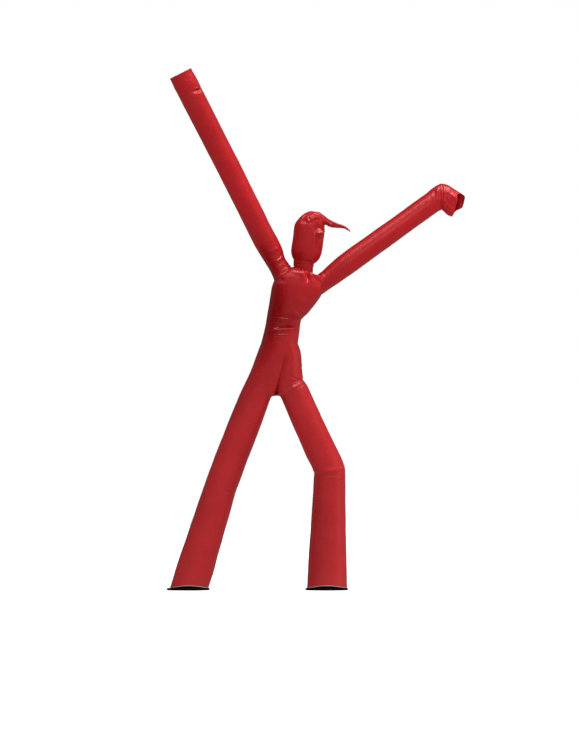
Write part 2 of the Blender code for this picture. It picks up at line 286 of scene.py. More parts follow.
def lobe_turns(sections, side, share):
    """Angles and centre seam dips of hip sections, at shares of the way round a lobe."""
    seam_x = CROTCH[0] + (-SEAM_GAP if side == "left" else SEAM_GAP) / 2
    run, climb = WAIST_SEAM_X - CROTCH[0], WAIST.z - CROTCH[1]
    x, z, wide, deep, tilt, square = sections.T[:6]
    tilt = np.radians(tilt)
    power = 2 / (2 + square)
    reach = (seam_x - x) * climb - (CROTCH[1] - z) * run
    reach = reach / (np.cos(tilt) * climb - np.sin(tilt) * run)
    start = np.arccos(np.minimum(np.abs(reach) / wide, 1.0) ** (1 / power))
    start = np.where((reach < 0) == (side == "left"), np.pi - start, start)
    edge_z = z + reach * np.sin(tilt)
    depth = np.interp((edge_z - CROTCH[1]) / climb, CENTRE_SEAM[:, 0], CENTRE_SEAM[:, 1])
    dip = depth - deep * np.sin(start) ** power
    turns = start[:, None] + (math.tau - 2 * start[:, None]) * share
    near = np.minimum(turns - start[:, None], math.tau - start[:, None] - turns)
    fade = np.clip(1 - near / SEAM_FADE, 0, 1) ** 2
    return turns - (0.0 if side == "left" else math.pi), dip[:, None] * fade


CLOSE = np.array([0.0, 0.0025, 0.005, 0.0075, 0.010, 0.013, 0.017])


def spaced(length, step):
    """Distances along a piece, closer together by its two ends."""
    count = max(int(round((length - 2 * CLOSE[-1]) / step)), 2)
    middle = np.linspace(CLOSE[-1], length - CLOSE[-1], count + 1)[1:-1]
    return np.concatenate([CLOSE, middle, length - CLOSE[::-1]])


def normals_of(points, closed):
    """Outward unit normals of a grid of points."""
    if closed:
        around = np.roll(points, -1, axis=1) - np.roll(points, 1, axis=1)
    else:
        around = np.gradient(points, axis=1)
    return unit(np.cross(around, np.gradient(points, axis=0)))


# ---- relief: how the cloth departs from its smooth surface ----
# A fold: its centre (millimetres along the piece, degrees round it), half length, the direction it
# runs in (0 is round the tube, 90 along it), depth (below 0 is a raised ridge), width, and how
# many times wider its upper side is.
Fold = namedtuple("Fold", "along around length turn depth width lip", defaults=[1.0])
FOLD_UNITS = (MM, 1, MM, 1, MM, MM, 1)

# A crumpled place: its centre, its reach, how deep and how large its facets are, and how many
# times lower than wide they are.
Crumple = namedtuple("Crumple", "along around reach depth facet squash", defaults=[1.0])
CRUMPLE_UNITS = (MM, 1, MM, MM, MM, 1)


def field(points, scale, seed, stretch=(1, 1, 1)):
    """Soft noise from -1 to 1 at points, with features about 1 / scale metres across."""
    spots = (points * np.array(stretch) * scale + seed * 7.31).reshape(-1, 3)
    values = np.fromiter((noise.noise(p) for p in spots.tolist()), float, len(spots))
    return values.reshape(points.shape[:-1])


def fading(distance, height, reach):
    """A height that falls away from a line."""
    return height * np.exp(-distance / reach)


def rising(distance, reach):
    """A share that grows from 0 at a line to 1 away from it."""
    return 1 - np.exp(-distance / reach)


def doubled(distance, height, width):
    """A flat step of doubled cloth along a line, with an edge 2 mm wide."""
    return height * np.clip((width - distance) / 0.002, 0, 1)


def puckers(distance, points, seed, height, scale, reach):
    """Uneven ripples along a line, fading away from it."""
    return fading(distance, height, reach) * field(points, scale, seed)


def folds(rows, along, turns, radius):
    """Relief of a piece's own folds: each a sharp trough with a soft roll either side."""
    total = np.zeros(np.broadcast(along, turns).shape)
    for f in in_metres(Fold, FOLD_UNITS, rows):
        u, v = off(turns, f.around) * radius, along - f.along
        c, s = math.cos(math.radians(f.turn)), math.sin(math.radians(f.turn))
        p, q = u * c + v * s, v * c - u * s
        fade = np.exp(-np.clip(np.abs(p) / f.length, 0, 6) ** 3)
        width = np.where(q > 0, f.width * f.lip, f.width)
        trough = np.exp(0.3 - np.sqrt((q / width) ** 2 + 0.09))
        roll = 0.45 * np.exp(-((np.abs(q) - 2.2 * width) / (1.3 * width)) ** 2)
        total += f.depth * fade * (roll - trough)
    return total


def tilt_at(centre):
    """A direction of its own for each facet centre, always the same for the same place."""
    x, y, z = (round(value, 3) for value in centre)
    return [math.sin(x * 12.99 + y * 78.23 + z * 37.72 + k * 2.1) for k in range(3)]


FACET_ROUNDING = 0.10    # how softly facets meet
FACET_STEP = 0.3         # how far facets stand above one another


def facets(points, size, squash, seed):
    """Crumpled cloth: heights of tilted flat facets of about this size at a list of points."""
    spots = points * np.array([1, 1, squash]) / size + seed * 3.7
    heights = np.empty(len(spots))
    for k, spot in enumerate(spots.tolist()):
        distances, centres = noise.voronoi(spot)
        total = weight = 0.0
        for distance, centre in zip(distances, centres):
            share = math.exp((distances[0] - distance) / FACET_ROUNDING)
            tilt = tilt_at(centre)
            height = sum(t * (a - b) for t, a, b in zip(tilt, spot, centre))
            total += share * (height + FACET_STEP * tilt[0])
            weight += share
        heights[k] = total / weight
    return heights


def crumples(rows, points, along, turns, radius, seed):
    """Relief of crumpled places: flat facets between sharp creases, fading outwards."""
    total = np.zeros(points.shape[:2])
    for k, spot in enumerate(in_metres(Crumple, CRUMPLE_UNITS, rows)):
        u, v = off(turns, spot.around) * radius, along - spot.along
        fade = np.exp(-((u * u + v * v) / spot.reach ** 2) ** 1.5)
        here = fade > 0.02
        shape = facets(points[here], spot.facet, spot.squash, seed + k)
        total[here] += spot.depth * fade[here] * shape
    return total


SEAM_DRAW = ((1.0, 0.012), (0.4, 0.045))    # shares of a seam's tuck, and their reach
SEAM_PUCKERS = ((1.1, 14, 0.06), (0.6, 34, 0.025))    # height, scale and reach
SEAM_SEED = 5            # one for all pieces, so that both sides of a seam pucker alike
PUCKER, PUCKER_PER_TUCK = 0.0004, 0.55
WELT = (0.0005, 0.010)   # height and width of a seam's folded allowance


def at_seam(distance, points, tuck):
    """Cloth drawn in along a sewn seam, with uneven puckers and a folded, stitched allowance."""
    draw = sum(fading(distance, tuck * share, reach) for share, reach in SEAM_DRAW)
    uneven = sum(puckers(distance, points, SEAM_SEED + k, *pucker)
                 for k, pucker in enumerate(SEAM_PUCKERS))
    welt = doubled(distance, *WELT) * np.clip(distance / 0.0015, 0, 1)
    return (PUCKER + PUCKER_PER_TUCK * tuck) * uneven * rising(distance, 0.006) - draw + welt


BACK_DRAW = (0.0035, 0.010)    # depth and width drawn in along a tube's lengthwise seam
BACK_WELT = (0.0011, 0.007)    # height and width of its allowance
BACK_PUCKERS = (0.0022, 26, 0.03)


def down_the_back(points, turns, radius, seed):
    """Relief along a tube's lengthwise seam."""
    gap = np.abs(off(turns, BACK)) * radius
    raised = doubled(gap, *BACK_WELT) + puckers(gap, points, seed + 6, *BACK_PUCKERS)
    return raised - fading(gap, *BACK_DRAW)


def billows(points, seed, sizes):
    """Uneven swelling of the blown-up cloth, from the height and scale of each size."""
    return sum(height * field(points, scale, seed + 2 + k)
               for k, (height, scale) in enumerate(sizes))


# ---- meshes ----
def grid_faces(rows, columns, closed, first=0, flip=False):
    """Quads between the rows and columns of a grid of vertices, as an array."""
    i = np.arange(rows - 1)[:, None]
    j = np.arange(columns if closed else columns - 1)[None, :]
    k = (j + 1) % columns
    quads = np.stack([i * columns + j, i * columns + k, (i + 1) * columns + k,
                      (i + 1) * columns + j], axis=-1).reshape(-1, 4) + first
    return quads[:, ::-1] if flip else quads


STRAIGHT = 0.012         # how near a seam the cloth is moved straight out from the tube's axis


def pressed(points, sections, out, from_end, closed):
    """Points moved outwards: along their normals, but straight from the axis beside a seam, where
    two pieces meet."""
    x, z, _, _, _, _, y = np.moveaxis(sections, -1, 0)[:7]
    radial = unit(points - np.stack([x, y, z], axis=-1))
    share = np.exp(-(from_end / STRAIGHT) ** 2)[..., None]
    way = normals_of(points, closed) * (1 - share) + radial * share
    return points + unit(way) * out[..., None]


def placed(name, data):
    """New object in the scene."""
    thing = bpy.data.objects.new(name, data)
    bpy.context.scene.collection.objects.link(thing)
    return thing


SHARP_ANGLE = math.radians(62)


def new_mesh(name, vertices, quads, uvs=None):
    """Mesh object of an array of vertices and an array of faces, shaded smooth."""
    mesh = bpy.data.meshes.new(name)
    mesh.vertices.add(len(vertices))
    mesh.vertices.foreach_set("co", np.asarray(vertices, np.float32).ravel())
    mesh.loops.add(quads.size)
    mesh.loops.foreach_set("vertex_index", quads.astype(np.int32).ravel())
    mesh.polygons.add(len(quads))
    starts = np.arange(0, quads.size, quads.shape[1], dtype=np.int32)
    mesh.polygons.foreach_set("loop_start", starts)
    mesh.update(calc_edges=True)
    mesh.validate()
    if uvs is not None:
        mesh.uv_layers.new(name="metres").data.foreach_set("uv", uvs.astype(np.float32).ravel())
    mesh.shade_smooth()
    mesh.set_sharp_from_angle(angle=SHARP_ANGLE)
    return placed(name, mesh)


def skin(name, points, closed, at, depth=SKIN):
    """Closed thin shell of cloth under a grid of points whose rows lie at these distances."""
    rows, columns = points.shape[:2]
    under = points - normals_of(points, closed) * depth
    ring = np.concatenate([points, points[:, :1]], axis=1) if closed else points
    steps = np.linalg.norm(np.diff(ring, axis=1), axis=2).mean(axis=0)
    run = np.concatenate([[0.0], np.cumsum(steps)])
    places = np.stack(np.broadcast_arrays(run, at[:, None]), axis=-1).reshape(-1, 2)
    count = rows * columns
    quads, uvs = [], []
    for first, flip in ((0, False), (count, True)):
        quads.append(grid_faces(rows, columns, closed, first, flip))
        uvs.append(places[grid_faces(rows, len(run), False, 0, flip)])
    rim = np.arange(len(run)) % columns
    walls = [(rim, run, True), (rim + count - columns, run, False)]
    if not closed:
        side = np.arange(rows) * columns
        walls += [(side, 0 * side, False), (side + columns - 1, 0 * side, True)]
    for edge, place, flip in walls:
        strip = np.stack([edge[:-1], edge[1:], edge[1:] + count, edge[:-1] + count], axis=-1)
        quads.append(strip[:, ::-1] if flip else strip)
        wide = np.stack([place[:-1], place[1:], place[1:], place[:-1]], axis=-1)
        uvs.append(np.stack([wide, 0 * wide], axis=-1))
    vertices = np.concatenate([points.reshape(-1, 3), under.reshape(-1, 3)])
    return new_mesh(name, vertices, np.concatenate(quads), np.concatenate(uvs))


THREAD_PITCH = 0.0042
STITCH = (0.0016, 0.00045, 0.0004)      # half length, half width and height of a stitch
STITCH_FACES = np.array([(0, 1, 2), (0, 2, 3), (1, 4, 2), (2, 4, 3),
                         (0, 5, 1), (0, 3, 5), (1, 5, 4), (3, 4, 5)])
stitch_lines = {}


def stitch(piece, line, normal, closed=False):
    """Keeps a line of stitches to sew on a piece: points on its skin and their normals."""
    if closed:
        line, normal = np.vstack([line, line[:1]]), np.vstack([normal, normal[:1]])
    stitch_lines.setdefault(piece, []).append((line, normal))


def sewn(piece):
    """All of a piece's stitches as one mesh of small lozenges."""
    half, breadth, height = STITCH
    spots = []
    for line, normal in stitch_lines[piece]:
        run = run_of(line)
        at = np.arange(THREAD_PITCH / 2, run[-1], THREAD_PITCH)
        spot, up = sampled(at, run, line), unit(sampled(at, run, normal))
        ahead = np.gradient(spot, axis=0)
        ahead = unit(ahead - up * np.sum(ahead * up, axis=1, keepdims=True))
        beside = np.cross(up, ahead)
        spots.append(np.stack([spot - ahead * half, spot - beside * breadth, spot + up * height,
                               spot + beside * breadth, spot + ahead * half, spot - up * height],
                              axis=1))
    spots = np.concatenate(spots)
    faces = np.arange(len(spots))[:, None, None] * spots.shape[1] + STITCH_FACES
    return new_mesh("stitches_" + piece, spots.reshape(-1, 3), faces.reshape(-1, 3))


# ---- the pieces ----
Ends = namedtuple("Ends", "low high")      # "seam" or "free"
TUBE_ENDS = Ends("seam", "seam")
# Each piece's folds and crumpled places, lengths in millimetres
FOLDS = {
    "shin_left": [
        (1165, -58, 40, 8, -4, 7), (1150, -130, 60, 20, 3, 6), (1080, -40, 70, -28, 3, 10),
    ],
    "thigh_left": [
        (12, -51, 70, -3, 6, 7), (45, -60, 50, 12, 3, 8), (142, -176, 50, -60, 5, 6),
        (105, -168, 60, -24, 4, 7),
    ],
    "pelvis_left": [
        (299, -116, 89, -5, 3, 6), (200, -140, 80, 10, 3, 10), (60, -95, 120, 6, 3, 10),
    ],
    "shin_right": [
        (1334, -80, 170, -2, 2, 14), (1270, -35, 80, 24, 3, 10), (1300, -140, 50, -30, 4, 7),
    ],
    "thigh_right": [
        (36, -82, 230, 0, -9, 15, 1.6), (102, -28, 60, -50, -4, 14), (55, -45, 80, 20, 4, 10),
        (107, -126, 41, -76, 4, 5), (140, -150, 50, -62, 4, 6), (1068, -60, 110, 4, -8, 10),
    ],
    "pelvis_right": [
        (423, -77, 111, 69, 6, 14), (292, -77, 255, 80, 4, 16), (18, -44, 140, -5, 8, 9, 2.2),
        (81, -67, 66, -37, 7, 10), (120, -25, 70, -20, 5, 10), (210, -10, 60, 6, 5, 12),
    ],
    "chest": [
        (864, -72, 95, 80, 36, 18), (872, -108, 80, -12, -6, 16), (836, -44, 50, -23, -14, 24),
        (805, -26, 80, -30, -18, 28), (845, -56, 40, -64, 10, 10), (775, -136, 60, -10, 6, 14),
        (745, -138, 60, 8, 6, 14), (519, -75, 40, -36, -5, 25), (443, -29, 110, -19, 6, 9),
        (400, -40, 80, -40, 5, 8), (340, -36, 120, -22, 8, 10), (298, -64, 110, 2, 22, 13, 2),
        (307, -109, 100, -5, 5, 6, 1.5), (330, -84, 80, 4, 5, 7), (262, -84, 90, 8, 10, 9, 1.6),
        (238, -96, 80, -6, 5, 8, 1.6), (184, -72, 125, 3, 38, 10, 4.6), (215, -96, 70, -7, 4, 6),
        (160, -100, 120, 2, 4, 6, 1.6), (138, -50, 150, 4, 5, 6, 1.6),
        (106, -70, 170, 2, 5, 6, 1.6), (74, -92, 110, -3, 4, 5, 1.6), (260, 80, 120, -6, 6, 10),
        (180, 130, 120, 4, 5, 10),
    ],
    "hair": [
        (90, -100, 110, 84, 6, 10), (80, -50, 100, 96, 5, 10), (210, -70, 70, 80, 3, 6),
        (100, 80, 110, 88, 6, 10),
    ],
    "neck": [(50, -100, 100, 8, 3, 8), (60, -20, 80, -14, 3, 8)],
    "head": [
        (250, -57, 250, -78, 16, 14, 2.4), (340, -46, 46, 40, -36, 30, 1.1),
        (415, -40, 60, -20, 10, 20), (474, -121, 45, 39, 6, 6), (490, -106, 48, -40, 10, 6),
        (502, -94, 60, -62, -6, 8), (560, -100, 60, 70, 6, 6), (587, -127, 60, -57, 6, 6),
        (100, -160, 120, 24, 4, 10), (120, -20, 80, -30, 4, 10), (440, 20, 90, 50, 8, 10),
        (480, 100, 100, 70, 8, 10),
    ],
    "arm_left": [
        (416, -72, 50, 12, -7, 16), (393, -49, 40, -44, -6, 14), (289, -66, 50, 16, -10, 14),
        (318, -58, 50, 20, 6, 10), (240, -90, 60, 10, 5, 10), (170, -40, 60, -20, 8, 8),
        (130, -70, 60, -6, 7, 7), (340, -160, 80, -12, 3, 12), (2508, -51, 60, -7, 24, 28, 0.3),
        (2440, -60, 45, -18, 4, 6), (2450, -122, 70, -12, 2, 10),
    ],
    "arm_right": [
        (230, -141, 80, 4, 3, 12), (1883, -124, 80, 2, 9, 12), (1884, -66, 110, -4, 9, 13),
        (1860, -124, 60, -20, -9, 12), (1800, -60, 100, 18, 4, 12),
    ],
    "hand_left": [
        (12, -39, 80, -6, 2, 8), (128, -172, 50, -51, 4, 10), (181, -79, 45, -86, 2, 10),
        (110, -70, 80, 70, 2, 14),
    ],
    "hand_right": [
        (12, -122, 80, 1, 8, 12), (10, -56, 100, -4, 7, 12), (160, -110, 90, 88, -16, 28),
        (130, -74, 100, 80, 8, 14), (160, -52, 80, 96, 6, 14), (74, -84, 70, 13, 4, 10),
    ],
}
CRUMPLES = {
    "head": [(510, -100, 140, 15, 90), (560, 90, 200, 16, 90)],
    "hair": [(60, -90, 120, 4, 70), (60, 90, 120, 4, 70)],
    "hand_right": [(130, -100, 130, 9, 100), (150, 90, 170, 14, 100)],
    "hand_left": [(150, -60, 120, 4, 80), (140, 120, 160, 3, 80)],
    "chest": [(330, -54, 90, 9, 50, 1.6), (430, -24, 90, 9, 45), (715, -136, 70, 4, 50)],
    "arm_left": [(390, -60, 70, 5, 55)],
    "arm_right": [(220, -120, 90, 2, 60)],
    "thigh_right": [(120, -135, 80, 7, 50)],
    "thigh_left": [(120, -172, 80, 6, 50)],
}


# Millimetres by which the cloth is drawn in at the low and the high end of each piece
TUCK = {
    "shin_left": (0, 1.0), "shin_right": (0, 1.8), "thigh_left": (1.0, 0.6),
    "thigh_right": (1.8, 4.2), "pelvis_left": (0.6, 0.4), "pelvis_right": (4.2, 0.4),
    "chest": (0.4, 5.0), "arm_left": (2.0, 3.0), "arm_right": (2.0, 5.0), "hand_left": (3.0, 0),
    "hand_right": (5.0, 0), "neck": (5.0, 1.0), "head": (1.0, 4.0), "hair": (4.0, 0),
}
SEED = {name: k for k, name in enumerate(TUCK)}
HOLD = 0.03              # how far from an end the cloth billows freely
SEWN_FLAT = 0.009        # how far from a seam folds and crumples start
BILLOWS = ((0.0026, 4.5), (0.0010, 13))    # height and scale
ARM_BILLOWS = ((0.0026, 4.0), (0.0008, 14))
ARM_FULL = 0.4           # how full arms are beside the other pieces
CREASES = (0.0016, 0.075)    # depth and sharpness of the fine long creases
CREASE_STRETCH = (14, 14, 2.2)
EDGE_FULL = 0.04         # how far from a free edge the cloth is full
EDGE_PUCKERS = (0.003, 16, 0.05)
EDGE_HEM = (0.0012, 0.024)    # height and width of a free edge's folded hem


def relief(name, points, along, to_ends, turns, radius, ends=TUBE_ENDS, back_seam=True):
    """How far the cloth of a piece stands out from its smooth surface, in metres. It is given each
    point's distance along the piece and from its low and its high end."""
    seed = SEED[name] * 3 + 1
    hold = rising(np.minimum(*to_ends), HOLD)
    if name.startswith("arm"):
        out = ARM_FULL * FULL * rising(to_ends[0], HOLD) + hold * billows(points, seed, ARM_BILLOWS)
    else:
        out = np.full(points.shape[:2], FULL)
    for distance, kind, tuck in zip(to_ends, ends, TUCK[name]):
        if kind == "seam":
            out = out + at_seam(distance, points, tuck / MM)
        else:
            edge = puckers(distance, points, seed, *EDGE_PUCKERS)
            if name.startswith("shin"):      # its edge lies calm between the binding's two faces
                edge = edge * rising(distance ** 2, HOLD ** 2)
            else:
                edge = edge + doubled(distance, *EDGE_HEM)
            out = out * rising(distance, EDGE_FULL) + edge
    if not name.startswith("arm"):
        round_it = np.stack([np.cos(turns) * radius, np.sin(turns) * radius, along], axis=-1)
        crease = fading(np.abs(field(round_it, 1.0, seed + 4, CREASE_STRETCH)), *CREASES)
        out = out + hold * (billows(points, seed, BILLOWS) - crease)
    if back_seam:
        out = out + down_the_back(points, turns, radius, seed)
    shapes = folds(FOLDS.get(name, []), along, turns, radius)
    shapes = shapes + crumples(CRUMPLES.get(name, []), points, along, turns, radius, SEED[name])
    return out + shapes * rising(from_seam(to_ends, ends) ** 2, SEWN_FLAT ** 2)


def from_seam(to_ends, ends=TUBE_ENDS):
    """Distance to the nearest sewn end of a piece."""
    return np.minimum(*(to_end + (kind == "free") for to_end, kind in zip(to_ends, ends)))


# The uneven edge of the right hand's mouth: degrees round it and millimetres from its wrist
LIPS = {"hand_right": [
    (-180, 216), (-168, 212), (-150, 190), (-117, 188), (-103, 206), (-69, 212), (-35, 214),
    (0, 209), (20, 209), (55, 216), (70, 237), (90, 288), (120, 284), (155, 272), (166, 256),
    (172, 214), (180, 216),
]}
LIP_ROOT = 0.10          # where a hand starts to stretch out to its uneven edge
DENSER = {"chest": (-74, 0.45), "head": (-50, 0.40)}    # a side with closer columns, and how much


def round_tube(sides):
    """Angles of evenly spaced columns."""
    return np.arange(sides) * math.tau / sides


def cloth_tube(name, rows, sides, step, ends, back_seam=True):
    """Smooth tube through the rows with its relief, as a grid of points."""
    rows = seated(rows)
    length = knots_of(rows)[-1]
    turns = round_tube(sides)
    middle, share = DENSER.get(name, (0, 0))
    turns = turns - share * np.sin(turns - math.radians(middle))
    edge = np.full(sides, length)
    if name in LIPS:
        round_mouth, lips = np.array(LIPS[name]).T
        lips = lips / MM
        length = float(lips.mean())
        edge = np.interp(off(turns, 0), np.radians(round_mouth), lips)
        edge = (np.roll(edge, 1) + 2 * edge + np.roll(edge, -1)) / 4
    at = spaced(length, step)
    past = np.clip((at[:, None] - LIP_ROOT) / (length - LIP_ROOT), 0, 1)
    along = at[:, None] + past * (edge - length)
    turns = np.broadcast_to(turns, along.shape)
    sections = between(rows, along)
    points = ring_points(sections, turns, name=name)
    radius = radius_of(sections)
    to_ends = (along, edge - along)
    out = relief(name, points, along, to_ends, turns, radius, ends, back_seam)
    points = pressed(points, sections, out, from_seam(to_ends, ends), True)
    return points, at, turns, radius


STITCH_ROWS = {"seam": (0.003, 0.008), "free": (0.021,)}      # metres from an end
BACK_STITCHES = 0.0045   # metres either side of a lengthwise seam


def sew_rings(name, points, at, ends=TUBE_ENDS, closed=True):
    """Stitch rows along both ends: two beside a seam, one along a free end's hem."""
    normal = normals_of(points, closed)
    for distance, kind in zip((at, at[-1] - at), ends):
        for offset in STITCH_ROWS[kind]:
            k = int(np.argmin(np.abs(distance - offset)))
            stitch(name, points[k], normal[k], closed)


def sew_back(name, points, turns, radius):
    """Two stitch rows along a tube's lengthwise seam."""
    normal = normals_of(points, True)
    for side in (-1, 1):
        target = BACK + side * np.degrees(BACK_STITCHES / radius[:, :1])
        column = int(np.median(np.argmin(np.abs(off(turns, target)), axis=1)))
        stitch(name, points[:, column], normal[:, column])


def finish_piece(name, thing):
    """Sews a piece's stitches on, rides and replaces its CAD node."""
    thread = sewn(name)
    thread.data.materials.append(thread_finish)
    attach(thread, "root")
    thing.data.materials.append(nylon)
    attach(thing, "root")
    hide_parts(name)


def finish_tube(name, points, at, closed=True):
    """The same for the piece over a grid."""
    thing = skin(name + "_skin", points, closed, at)
    finish_piece(name, thing)


# ---- materials ----
class Nodes:
    """Small helper to wire up a node tree that ends in a shader."""

    def __init__(self, owner, shader="Principled BSDF"):
        owner.use_nodes = True
        self.owner, self.tree = owner, owner.node_tree
        self.shader = self.tree.nodes[shader]

    def wire(self, node, inputs):
        """Links or sets inputs of a node; colours are opaque."""
        for key, value in inputs.items():
            if isinstance(value, bpy.types.NodeSocket):
                self.tree.links.new(value, node.inputs[key])
            else:
                value = (*value, 1.0) if isinstance(value, tuple) else value
                node.inputs[key].default_value = value

    def add(self, kind, inputs=None, **settings):
        node = self.tree.nodes.new(kind)
        for key, value in settings.items():
            setattr(node, key, value)
        self.wire(node, inputs or {})
        return node

    def finish(self, inputs):
        """Sets the shader's own inputs."""
        self.wire(self.shader, inputs)
        return self.owner

    def place(self, kind):
        return self.add("ShaderNodeTexCoord").outputs[kind]

    def split(self, vector):
        return self.add("ShaderNodeSeparateXYZ", {0: vector}).outputs

    def math(self, operation, *values):
        return self.add("ShaderNodeMath", dict(enumerate(values)), operation=operation).outputs[0]

    def noise(self, vector, scale, detail=2.0, roughness=0.5):
        return self.add("ShaderNodeTexNoise", {"Vector": vector, "Scale": scale, "Detail": detail,
                                               "Roughness": roughness}).outputs["Fac"]

    def mix(self, share, a, b):
        return self.add("ShaderNodeMix", {0: share, 6: a, 7: b}, data_type="RGBA").outputs[2]

    def ramp(self, value, low, high, out_low=0.0, out_high=1.0):
        return self.add("ShaderNodeMapRange", {"Value": value, "From Min": low, "From Max": high,
                                               "To Min": out_low, "To Max": out_high}).outputs[0]

    def wave(self, value, pitch):
        """Goes from 0 to 1 and back over each pitch."""
        turn = self.math("MULTIPLY", value, math.tau / pitch)
        return self.ramp(self.math("SINE", turn), -1.0, 1.0)

    def bump(self, height, strength, distance, **under):
        return self.add("ShaderNodeBump", {"Height": height, "Strength": strength,
                                           "Distance": distance, **under}).outputs[0]


def material(name):
    return Nodes(bpy.data.materials.new(name))


def nylon_material():
    """Red nylon: woven, with a fine grid of thicker threads, paler towards the bottom and soiled
    low down.
    """
    n = material("red_nylon")
    solid, flat = n.place("Object"), n.split(n.place("UV"))
    height = n.split(solid)["Z"]
    weave = n.math("MULTIPLY", n.wave(flat["X"], 0.0016), n.wave(flat["Y"], 0.0016))
    check = n.math("MAXIMUM", *(n.ramp(n.wave(flat[axis], 0.0075), 0.90, 1.0) for axis in "XY"))
    patches = n.noise(solid, 1.6, 3.0)
    blotches = n.noise(solid, 9.0, 4.0, 0.6)
    soil = n.ramp(n.noise(solid, 5.0, 4.0), 0.35, 0.75)
    grime = n.math("MULTIPLY", n.ramp(height, 1.6, 0.0), soil)

    # the red turns paler and less saturated from 3.6 m down to 2.4 m
    paler_low_down = n.ramp(height, 3.6, 2.4)
    deep = n.mix(paler_low_down, (0.360, 0.0040, 0.0060), (0.345, 0.0085, 0.0105))
    bright = n.mix(paler_low_down, (0.440, 0.0060, 0.0085), (0.415, 0.0125, 0.0150))
    colour = n.mix(n.ramp(patches, 0.35, 0.65), deep, bright)
    colour = n.mix(n.ramp(blotches, 0.45, 0.75, 0.0, 0.35), colour, (0.42, 0.016, 0.022))
    colour = n.mix(n.math("MULTIPLY", check, 0.10), colour, (0.56, 0.035, 0.045))
    colour = n.mix(n.math("MULTIPLY", grime, 0.20), colour, (0.30, 0.045, 0.045))

    crinkle = n.bump(n.noise(solid, 38.0, 4.0, 0.55), 0.20, 0.004)
    threads = n.math("ADD", weave, n.math("MULTIPLY", check, 0.8))
    return n.finish({
        "Base Color": colour, "Roughness": n.ramp(n.noise(solid, 22.0, 3.0), 0.3, 0.7, 0.30, 0.40),
        "Specular IOR Level": 0.35, "Specular Tint": (1.0, 0.45, 0.47),
        "Normal": n.bump(threads, 0.35, 0.0003, Normal=crinkle)})


def thread_material():
    n = material("red_thread")
    twist = n.noise(n.place("Object"), 900.0, 2.0)
    return n.finish({
        "Base Color": n.mix(twist, (0.26, 0.010, 0.014), (0.42, 0.020, 0.026)),
        "Roughness": n.ramp(twist, 0.3, 0.7, 0.55, 0.75)})


def tape_material():
    n = material("pale_tape")
    soil = n.noise(n.place("Object"), 12.0, 4.0)
    rib = n.wave(n.split(n.place("UV"))["X"], 0.002)
    return n.finish({
        "Base Color": n.mix(n.ramp(soil, 0.35, 0.7), (0.31, 0.26, 0.24), (0.21, 0.17, 0.16)),
        "Roughness": n.ramp(soil, 0.3, 0.7, 0.65, 0.8), "Normal": n.bump(rib, 0.4, 0.0004)})


def plastic_material():
    n = material("black_moulded_plastic")
    solid = n.place("Object")
    grain = n.noise(solid, 420.0, 3.0, 0.6)
    scuff = n.noise(solid, 14.0, 5.0, 0.65)
    height = n.split(solid)["Z"]
    dust = n.math("MULTIPLY", n.ramp(height, 0.016, 0.030), n.ramp(scuff, 0.45, 0.75))
    dust = n.math("MULTIPLY", dust, 0.35)
    return n.finish({
        "Base Color": n.mix(dust, (0.0015, 0.0015, 0.0017), (0.014, 0.013, 0.012)),
        "Roughness": n.ramp(scuff, 0.3, 0.75, 0.42, 0.66), "Specular IOR Level": 0.03,
        "Normal": n.bump(grain, 0.35, 0.0005)})


nylon = nylon_material()
thread_finish = thread_material()
tape_finish = tape_material()
plastic = plastic_material()


# ---- the figure ----
def build_tube(name, rows, sides, step, ends, back_seam=True):
    """A piece that is a whole tube."""
    points, at, turns, radius = cloth_tube(name, rows, sides, step, ends, back_seam)
    sew_rings(name, points, at, ends)
    if back_seam:
        sew_back(name, points, turns, radius)
    finish_tube(name, points, at)


LOBE_STEP, LOBE_COLUMNS = 0.008, 121
LOBE_LEAST = 0.006       # least distance between its columns beside the middle seam


def build_lobe(side):
    """Half of the hips, open where it lies against the other half."""
    name = "pelvis_" + side
    rows = seated([HIP[side]] + ROWS[name] + [WAIST])
    length = knots_of(rows)[-1]
    at = spaced(length, LOBE_STEP)
    sections = between(rows, at)
    turns, dip = lobe_turns(sections, side, np.linspace(0, 1, LOBE_COLUMNS)[None, :])
    sections = sections[:, None]
    points = ring_points(sections, turns, dip, name)
    radius = radius_of(sections)
    along = np.broadcast_to(at[:, None], turns.shape)
    to_ends = (along, length - along)
    out = relief(name, points, along, to_ends, turns, radius, back_seam=False)
    column = np.arange(LOBE_COLUMNS)
    step = np.linalg.norm(points[:, 1] - points[:, 0], axis=1)[:, None]
    from_middle = np.minimum(column, column[::-1]) * np.maximum(step, LOBE_LEAST)
    out = out * rising(from_middle, HOLD)
    points = pressed(points, sections, out, from_seam(to_ends), False)
    normal = normals_of(points, False)
    for j in (1, LOBE_COLUMNS - 2):
        stitch(name, points[8:-4, j], normal[8:-4, j])
    sew_rings(name, points, at, closed=False)
    finish_tube(name, points, at, False)


PROBE = np.linspace(0, 0.60, 121)      # distances along an arm's low end at which it is probed


def where_it_lands(lines, chest_tree):
    """For each line along an arm, the distance at which it meets the chest from outside."""
    start = np.zeros(lines.shape[1])
    for j in range(lines.shape[1]):
        for k in range(len(PROBE) - 1, 0, -1):
            a, b = Vector(lines[k, j]), Vector(lines[k - 1, j])
            hit = chest_tree.ray_cast(a, b - a, (b - a).length)
            if hit[0] is not None:
                start[j] = PROBE[k] - (PROBE[k] - PROBE[k - 1]) * hit[3] / (b - a).length
                break
    return start


# How far an arm's lower end spreads out over the shoulder, and round which angle
FLARE = {"left": (0.029, -88), "right": (0.012, -120)}


def flare(side, along, start, turns):
    spread, middle = FLARE[side]
    facing = np.clip(0.5 + 0.7 * np.cos(turns - math.radians(middle)), 0, 1)
    return (spread * facing * np.exp(-np.clip(along - start, -0.02, None) / 0.055))[..., None]


ARM_CLEAR = 0.03         # how far past the chest an arm's rings lie square to it


